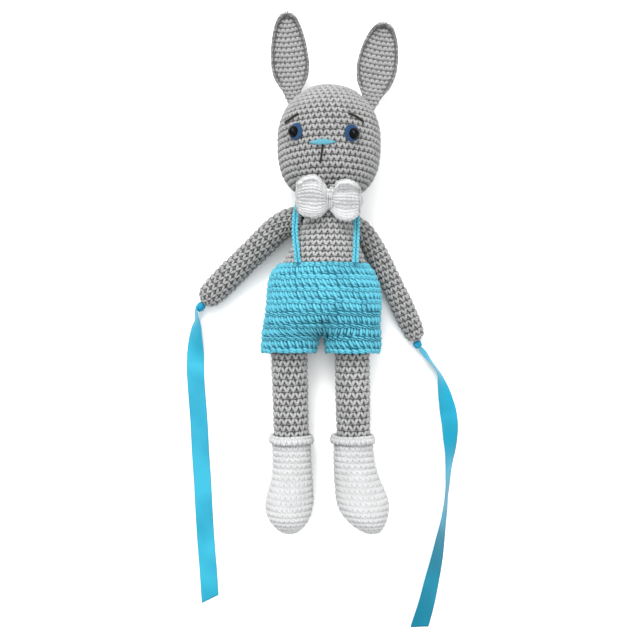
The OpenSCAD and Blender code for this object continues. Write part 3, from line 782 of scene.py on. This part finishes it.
LEFT_BOOT = [
    (-115, -22.2, 13.0, 2.2, 28.6), (-119, -22.2, 13.2, 1.8, 28.6), (-128, -22, 13.4, 1.2, 29),
    (-140, -21.9, 14, 0.4, 31), (-149, -22.6, 15.2, 0.4, 36), (-158, -23.5, 16.4, 0.8, 41.5),
    (-165, -23.8, 15.2, 3, 43.5), (-168.2, -23.6, 13.8, 5.8, 43), (-172.6, -23.4, 10.4, 11.4, 40),
    (-175.4, -23.3, 7.0, 16.4, 36), (-176.8, -23.2, 4.2, 20.4, 31.6), (-177.2, -23.2, 0, 26, 26)]
RIGHT_BOOT = [
    (-115, 20.2, 13.2, 2.2, 28.6), (-119, 20.2, 13.4, 1.8, 28.6), (-128, 20.5, 13.9, 1.2, 29),
    (-140, 22, 15.2, 0.4, 31), (-149, 24.3, 16.8, 0.4, 36), (-158, 26.4, 17.8, 0.8, 41.5),
    (-165, 27.7, 15.8, 3, 43.5), (-168.2, 28.7, 14.0, 5.8, 43), (-172.6, 30.4, 10.4, 11.4, 40),
    (-175.4, 31.6, 7.0, 16.4, 36), (-176.8, 32.3, 4.2, 20.4, 31.6), (-177.2, 32.5, 0, 26, 26)]


def bootie(name, rows, body, nodes):
    """A white foot in rounds from the ankle to the toe."""
    table = [(y, x, a, (low + high) / 2, (high - low) / 2) for y, x, a, low, high in rows]
    skin, rounds = stack(table, 3.8)
    work = Cloth()
    crochet(work, skin, rounds, 4.1, slant=0.25, inset=0.9, thick=1.2, rough=0.9, even=0.75)
    work.piece(name, white_yarn, body=body, replaces=nodes)


bootie("left_bootie_skin", LEFT_BOOT, "left_leg", ["left_bootie", "left_foot_stuffing"])
bootie("right_bootie_skin", RIGHT_BOOT, "right_leg", ["right_bootie", "right_foot_stuffing"])


def cuff(name, at, radius, flare, body, node):
    """A rolled cuff: rounds that climb out of the ankle, over a roll and back to the leg. The
    middle line of the roll is a ring that dips and flares a little."""
    rounds = 4

    def skin(u, v):
        a = TURN * (0.62 - 0.74 * np.clip(v, 0, rounds) / rounds)
        wave = 0.5 * np.sin(TURN * u * 2 + 1) + flare * np.exp(-((u % 1 - 0.75) / 0.12) ** 2)
        r = radius + 1.5 + wave + 1.9 * np.cos(a)
        y = at[1] + 1.4 + 3.6 * np.sin(a) + 0.3 * np.sin(TURN * u * 3)
        return np.stack([at[0] + r * np.sin(TURN * u), y, at[2] + 0.3 + r * np.cos(TURN * u)], -1)

    work = Cloth()
    crochet(work, skin, rounds, 4.0, slant=0.4, inset=0.9, even=0.5)
    work.piece(name, white_yarn, body=body, replaces=[node])


cuff("left_cuff", (-22.3, -117, 15.2), 12.4, 0.2, "left_leg", "left_bootie_cuff")
cuff("right_cuff", (20.2, -117, 15.2), 12.0, 1.2, "right_leg", "right_bootie_cuff")


# ---------------------------------------------------------------- shorts

SHORTS_TOP = 4.0
SHORTS_ROW = 8.2
SHORTS_ROUNDS = 8
WAIST_ROUNDS = 4
LEG_FROM = 5.95  # the round from which each leg's oval is closed
CROTCH = -47.4
shorts_table = np.array([
    (-64, -2.3, 41.1, 24.4, 25.4), (-49, -2.3, 41.1, 24.4, 25.4), (-34, -1.1, 39.9, 24.6, 26),
    (-22, 0.0, 39.4, 24.8, 26.4), (-10, -0.2, 38.2, 25, 26.4), (-2, -0.6, 35.4, 25.2, 26.0),
    (2, -0.4, 32.6, 25.2, 25.8), (4, -0.2, 30.4, 25.2, 25.6)])
oval_table = np.array([
    (-64, -24.0, 19.2, 19.5, 19.1, 18.8), (-57, -24.0, 19.3, 19.5, 19.2, 19.2),
    (-50, -23.2, 20.0, 19.4, 19.9, 20.4), (-46, -22.4, 20.4, 19.2, 20.3, 21.4),
    (-34, -21.5, 20.0, 18.8, 20.2, 23.0), (-22, -20.6, 20.0, 19.4, 20.0, 24.0)])


def shorts_skin(u, v):
    """One ellipse at the waist that parts into two ovals, one round each leg, at the crotch. A
    turn u from 0 to a half is the right side, and each half goes once round its own oval. A soft
    fold runs up from the crotch across the front."""
    u = u % 1
    y = SHORTS_TOP - SHORTS_ROW * np.clip(v, 0, SHORTS_ROUNDS)
    x, a, z, b = np.moveaxis(smooth(shorts_table, y), -1, 0)
    lx, la, rx, ra, lb = np.moveaxis(smooth(oval_table, y), -1, 0)
    right = u < 0.5
    part = TURN * 2 * np.where(right, u, u - 0.5)
    ox = np.where(right, rx - ra * np.cos(part), lx + la * np.cos(part))
    oz = 21.0 + np.where(right, 1, -1) * lb * np.sin(part)
    q = np.clip((-26 - y) / (-26 - CROTCH), 0, 1) ** 3.2
    x = (1 - q) * (x + a * np.sin(TURN * u)) + q * ox
    z = (1 - q) * (z + b * np.cos(TURN * u)) + q * oz
    off = ((x + 2) * 27 - (y + 48) * 17) / 32
    up = ((x + 2) * 17 + (y + 48) * 27) / 32
    fold = 5.5 * np.exp(-(off / 4.2) ** 2) * ease((up + 4) / 8) * ease((31 - up) / 20)
    z = z - fold * (z > 30) * ease((z - 30) / 8)
    return np.stack([x, y + 0 * x, z], -1)


body_part = Cloth()
crochet(body_part, shorts_skin, SHORTS_ROUNDS, 4.4, HALF_DOUBLE, slant=0.35, last=WAIST_ROUNDS,
        backing=(0.02, WAIST_ROUNDS + 0.3), fixed=50)
body_part.piece("shorts_waist", blue_yarn, body="torso", replaces=["shorts_body"])


def shorts_side(name, right, body, node, hip):
    """The lower rounds of one side of the shorts: its outer half, then the oval round its leg,
    and a ridge of single strands along the hem."""
    def half_skin(u, v):
        turn = (0.0 if right else 0.5) + 0.5 * np.where(v > LEG_FROM, u % 1, u)
        held = (v > LEG_FROM) | (u == 0) | (u == 1)
        return shorts_skin(np.where(held, np.clip(turn, 0.0002, 0.9998), turn), v)

    work = Cloth()
    crochet(work, half_skin, SHORTS_ROUNDS, 4.4, HALF_DOUBLE, slant=0.35, first=WAIST_ROUNDS, fixed=25,
            backing=(WAIST_ROUNDS - 0.2, SHORTS_ROUNDS - 0.9), last=SHORTS_ROUNDS - 1)
    crochet(work, half_skin, SHORTS_ROUNDS, 4.4, HALF_DOUBLE[:2], slant=0.35, first=SHORTS_ROUNDS - 1,
            fixed=25, backing=(WAIST_ROUNDS, WAIST_ROUNDS + 1), inset=2.2)
    start, end = (hip[0], -28, hip[2]), (hip[0], -50, hip[2])
    work.piece(name, blue_yarn, blend=("torso", body, start, end), replaces=[node])


shorts_side("shorts_left", False, "left_leg", "left_shorts_leg", (-23.8, -47, 20))
shorts_side("shorts_right", True, "right_leg", "right_shorts_leg", (19, -47, 20))


def suspender(name, route, node):
    """A narrow crocheted cord: chain stitches along both faces of a flat strap."""
    route = np.array(route, float)
    table = np.c_[distances(route), route]
    far = table[-1, 0]
    rounds = round(far / 2.7)

    def skin(u, v):
        q = np.clip(v, 0, rounds) / rounds * far
        middle = smooth(table, q)
        ahead = smooth(table, q + 0.4) - smooth(table, q - 0.4)
        side = np.stack([1 - ahead[..., 0] ** 2, -ahead[..., 0] * ahead[..., 1],
                         -ahead[..., 0] * ahead[..., 2]], -1)
        side /= np.linalg.norm(side, axis=-1, keepdims=True)
        up = np.cross(side, ahead)
        up /= np.linalg.norm(up, axis=-1, keepdims=True)
        return (middle + side * 2.45 * np.sin(TURN * u)[..., None] + up * 1.25 * np.cos(TURN * u)[..., None])

    work = Cloth()
    crochet(work, skin, rounds, 2.8, CHAIN, slant=0.0, fixed=4, inset=0.9, thick=0.95, rough=1.2)
    work.piece(name, strap_yarn, body="torso", replaces=[node])


suspender("left_strap", [
    (-17.0, 3.2, 48.6), (-17.8, 10, 46.0), (-19.2, 26, 41.6), (-18.4, 38, 37.4), (-16.6, 44, 31.5),
    (-15.4, 41, 22.5), (-13.6, 30, 13), (-11.6, 18, 6.8), (-10, 4.8, 3)], "left_suspender")
suspender("right_strap", [
    (20.4, 3.2, 48.2), (20.8, 12, 44.8), (21.4, 26, 41.2), (21.4, 36, 37), (20.6, 42, 31),
    (19.2, 40, 21.5), (15.8, 30, 12.8), (12.6, 18, 6.6), (10, 4.8, 3)], "right_suspender")


# ---------------------------------------------------------------- bow tie

bow_table = np.array([
    (-19.0, 45.0, 0.0, 0.0), (-18.5, 45, 5.5, 1.4), (-16, 45.2, 10.4, 2.6), (-11, 45.3, 13.0, 3.6),
    (-5.5, 45.0, 13.6, 3.8), (-1, 44.4, 11.2, 3.4), (1.8, 43.9, 7.8, 2.6), (3.2, 43.7, 6.6, 2.4),
    (4.6, 43.5, 7.8, 2.6), (7.5, 43.2, 11.2, 3.2), (12.5, 42.9, 13.1, 3.6), (18, 42.8, 12.6, 3.2),
    (22, 42.7, 9.6, 2.4), (23.9, 42.7, 5.5, 1.4), (24.4, 42.7, 0.0, 0.0)])
BOW_ROUNDS = 16
PINCH = 3.2


def on_chin(y):
    """The height of the bow's middle, which leans back on the chin above 38 mm."""
    return 51.6 + 0.66 * np.maximum(y - 38, 0)


def bow_skin(u, v):
    """A flat bag, pinched at its middle: its thickness swells in each lobe, and its cloth folds
    into three soft pleats that fan out of the pinch. Its upper half leans back on the chin."""
    t = (1 - np.cos(np.pi * np.clip(v / BOW_ROUNDS, 0, 1))) / 2
    x = -19.0 + 43.4 * (0.35 * t + 0.65 * np.clip(v / BOW_ROUNDS, 0, 1))
    middle, half, thick = np.moveaxis(smooth(bow_table, x), -1, 0)
    half, thick = np.maximum(half, 0), np.maximum(thick, 0)
    rise = np.sin(TURN * u)
    y = middle + half * rise
    away = np.clip(np.abs(x - PINCH) / 18, 0, 1)
    pleat = np.sin(rise * 6.5 + 0.6 + 0.8 * np.sign(x - PINCH)) * np.sin(np.pi * np.clip(away * 0.9, 0, 1))
    dent = 2.4 * np.exp(-((x - 12.5) / 4.5) ** 2 - ((y - 49.8) / 2.4) ** 2)
    z = on_chin(y) + thick * np.cos(TURN * u) + pleat * np.clip(half / 8, 0, 1)
    z = z - dent * (np.cos(TURN * u) > 0)
    return np.stack([x, y, z], -1)


bow = Cloth()
crochet(bow, bow_skin, BOW_ROUNDS, 2.6, RIB, slant=0.0, fixed=36, inset=0.9, rough=1.6, even=0.9)
bow.piece("bow", white_yarn, body="torso", replaces=["bow_tie"])

wrap = Cloth()
for k, x in enumerate(np.linspace(2.1, 4.4, 3)):
    a = np.linspace(0, TURN, 25)
    y = 43.5 + 4.9 * np.sin(a)
    ring = np.stack([x + 0.3 * np.sin(a + k), y, on_chin(y) + 3.0 * np.cos(a)], -1)
    cord_round(wrap, ring, 0.85, tone=0.85, steps=40)
wrap.piece("bow_binding", white_yarn, body="torso", replaces=["bow_wrap"])


# ---------------------------------------------------------------- ribbons

RIBBON_WIDTH = 12.0
RIBBON_HALF_THICKNESS = 0.12
LANES = 13
KNOT_RADIUS = 2.8


def ribbon(name, rows, material, body, nodes, knot_at, end_slant, turned=None):
    """A satin ribbon laid on the surface. rows are (x, y, width seen from above): where less than
    the whole width is seen, the ribbon stands up on one edge by the angle whose cosine that is, and
    the sign says which edge. From row turned on its upper side has the tone of its back. Its end is
    cut at a slant, and its first 6 mm gather to the knot."""
    rows = np.array(rows, float)
    far = distances(rows[:, :2])
    steps = int(far[-1] / 1.5)
    lean = np.arccos(np.clip(np.abs(rows[:, 2]) / RIBBON_WIDTH, 0, 1))
    table = np.c_[far, rows[:, :2], lean * np.sign(rows[:, 2])]
    across = np.linspace(-1, 1, LANES)
    s, w = np.meshgrid(np.linspace(0, far[-1], steps), across, indexing="ij")
    s = s + end_slant * w * ease((s - far[-1] + 12) / 12)
    at = smooth(table, s)
    ahead = smooth(table, s + 0.5)[..., :2] - smooth(table, s - 0.5)[..., :2]
    over = np.maximum(s - far[-1], 0)
    last = (rows[-1, :2] - rows[-2, :2]) / (far[-1] - far[-2])
    ahead = np.where(over[..., None] > 0, last, ahead)
    ahead /= np.linalg.norm(ahead, axis=-1, keepdims=True)
    tilt = at[..., 2]
    half = RIBBON_WIDTH / 2
    side = np.stack([-ahead[..., 1], ahead[..., 0]], -1)
    flat = w * half * np.cos(tilt)
    ripple = 0.35 * np.sin(s / 9.0) * np.sin(np.pi * (w + 1) / 2) + 0.25 * np.sin(s / 23)
    high = 0.75 + np.abs(ripple) + half * np.abs(np.sin(tilt)) + w * half * np.sin(tilt)
    top = np.concatenate([at[..., :2] + last * over[..., None] + side * flat[..., None], high[..., None]], -1)
    near = np.clip(1 - s / 6, 0, 1)[..., None] ** 2
    top = top * (1 - near) + near * (np.array(knot_at) + (top - np.array(knot_at)) * 0.35)
    edge = np.gradient(top, axis=0)
    face = np.cross(edge, np.gradient(top, axis=1))
    face /= np.linalg.norm(face, axis=-1, keepdims=True)
    face *= RIBBON_HALF_THICKNESS
    loop = np.concatenate([top + face, (top - face)[:, ::-1]], 1)
    count = loop.shape[1]
    quads, caps = tube_faces(steps, count)
    lane = np.r_[across, across[::-1]] * half
    place = np.stack([quads // count * 1.5, lane[quads % count]], -1)
    work = Cloth()
    turns_at = np.inf if turned is None else far[turned]
    back = ease((s[:, LANES // 2] - turns_at) / 14)
    tone = 0.75 - 0.6 * np.stack([back, 1 - back], -1).repeat(LANES, -1).ravel()
    work.patch(loop, tone, [(quads, place), unmarked(caps)])
    obj = work.piece(name, material, body=body, replaces=nodes)


ribbon("left_ribbon_band", [
    (-88.9, -26.5, 4.4), (-88.4, -31.5, 3.8), (-88.0, -34.7, 5.0), (-88.3, -37.8, 7.0), (-89.0, -44, 9.2),
    (-89.4, -50.4, 10.8), (-89.6, -56.7, 11.8), (-89.8, -64, 12), (-89.5, -76, 12), (-88.8, -86, 12),
    (-87.4, -104, 12), (-86.3, -125, 12), (-84.9, -146, 12), (-83.8, -167, 12), (-82.5, -188, 12),
    (-80.8, -209, 12), (-79.5, -229, 12)],
    left_satin, "left_ribbon_body", ["left_ribbon"], (-88.7, -26.0, 5.4), -2.5)
ribbon("right_ribbon_band", [
    (66.2, -52.8, -3.4), (69.4, -56.6, -4.2), (74.2, -62.8, -2.6), (77.6, -67.2, -2.2), (80.0, -71.6, -3.6),
    (81.6, -77, -6.4), (83.5, -84, -9.2), (85.2, -91, -10.8), (86.8, -98.4, -11.8), (87.9, -107, -11.6),
    (88.0, -116, -10.6), (87.8, -124, -8.6), (87.0, -132, -6.4), (86.3, -140.4, -5.0), (85.8, -149, -4.2),
    (84.9, -157.2, -3.8), (84.0, -166, -4.6), (82.8, -174, -5.4), (81.4, -182.4, -6.8), (78.6, -199, -9.2),
    (75.0, -216, -10.8), (71.2, -232.8, -11.6), (66.8, -248.5, -12)],
    right_satin, "right_ribbon_body", ["right_ribbon"], (65.7, -52.2, 4.6), -2.0, turned=13)


def ribbon_knot(name, at, toward, half, material, body, node):
    """A small pulled knot of ribbon: a squat ball with pleats that run round it."""
    toward = np.array(toward, float) - np.array(at, float)
    toward /= np.linalg.norm(toward)
    side = np.cross(toward, [0, 0, 1])
    side /= np.linalg.norm(side)
    up = np.cross(side, toward)
    rings, sides = 18, 36
    t, a = np.meshgrid(np.linspace(0.02, 0.98, rings), np.arange(sides) / sides, indexing="ij")
    pleat = 1 + 0.13 * np.sin(TURN * a * 5 + 7 * t) + 0.05 * np.sin(TURN * a * 11)
    r = KNOT_RADIUS * np.sin(np.pi * t) ** 0.6 * pleat
    points = (np.array(at) + toward * (half * np.cos(np.pi * t))[..., None]
              + side * (r * np.cos(TURN * a))[..., None] + up * (r * np.sin(TURN * a))[..., None])
    quads, caps = tube_faces(rings, sides)
    work = Cloth()
    uv = np.stack([quads // sides * 0.3, quads % sides * 0.4], -1)
    work.patch(points, 1.0, [(quads, uv), unmarked(caps)])
    work.piece(name, material, body=body, replaces=[node])


ribbon_knot("left_knot", (-85.5, -24.7, 6.2), (-89.0, -28.6, 5.0), 3.7, knot_satin, "left_ribbon_body",
            "left_ribbon_knot")
ribbon_knot("right_knot", (65.0, -50.8, 5.4), (69.6, -57.4, 3.6), 2.6, knot_satin, "right_ribbon_body",
            "right_ribbon_knot")


# ---------------------------------------------------------------- moulded parts and the floor

for node, material in (("left_safety_eye", eye_plastic), ("right_safety_eye", eye_plastic),
                       ("left_eye_washer", washer_plastic), ("right_eye_washer", washer_plastic)):
    part = bpy.data.objects[node]
    for own in part.material_slots:
        own.material = material

floor_data = bpy.data.meshes.new("floor")
FLOOR_HALF = 3.0
floor_data.from_pydata([(x * FLOOR_HALF, y * FLOOR_HALF, 0) for x, y in ((-1, -1), (1, -1), (1, 1), (-1, 1))],
                       [], [(0, 1, 2, 3)])
floor_data.materials.append(backdrop)
floor = bpy.data.objects.new("floor", floor_data)
bpy.context.scene.collection.objects.link(floor)
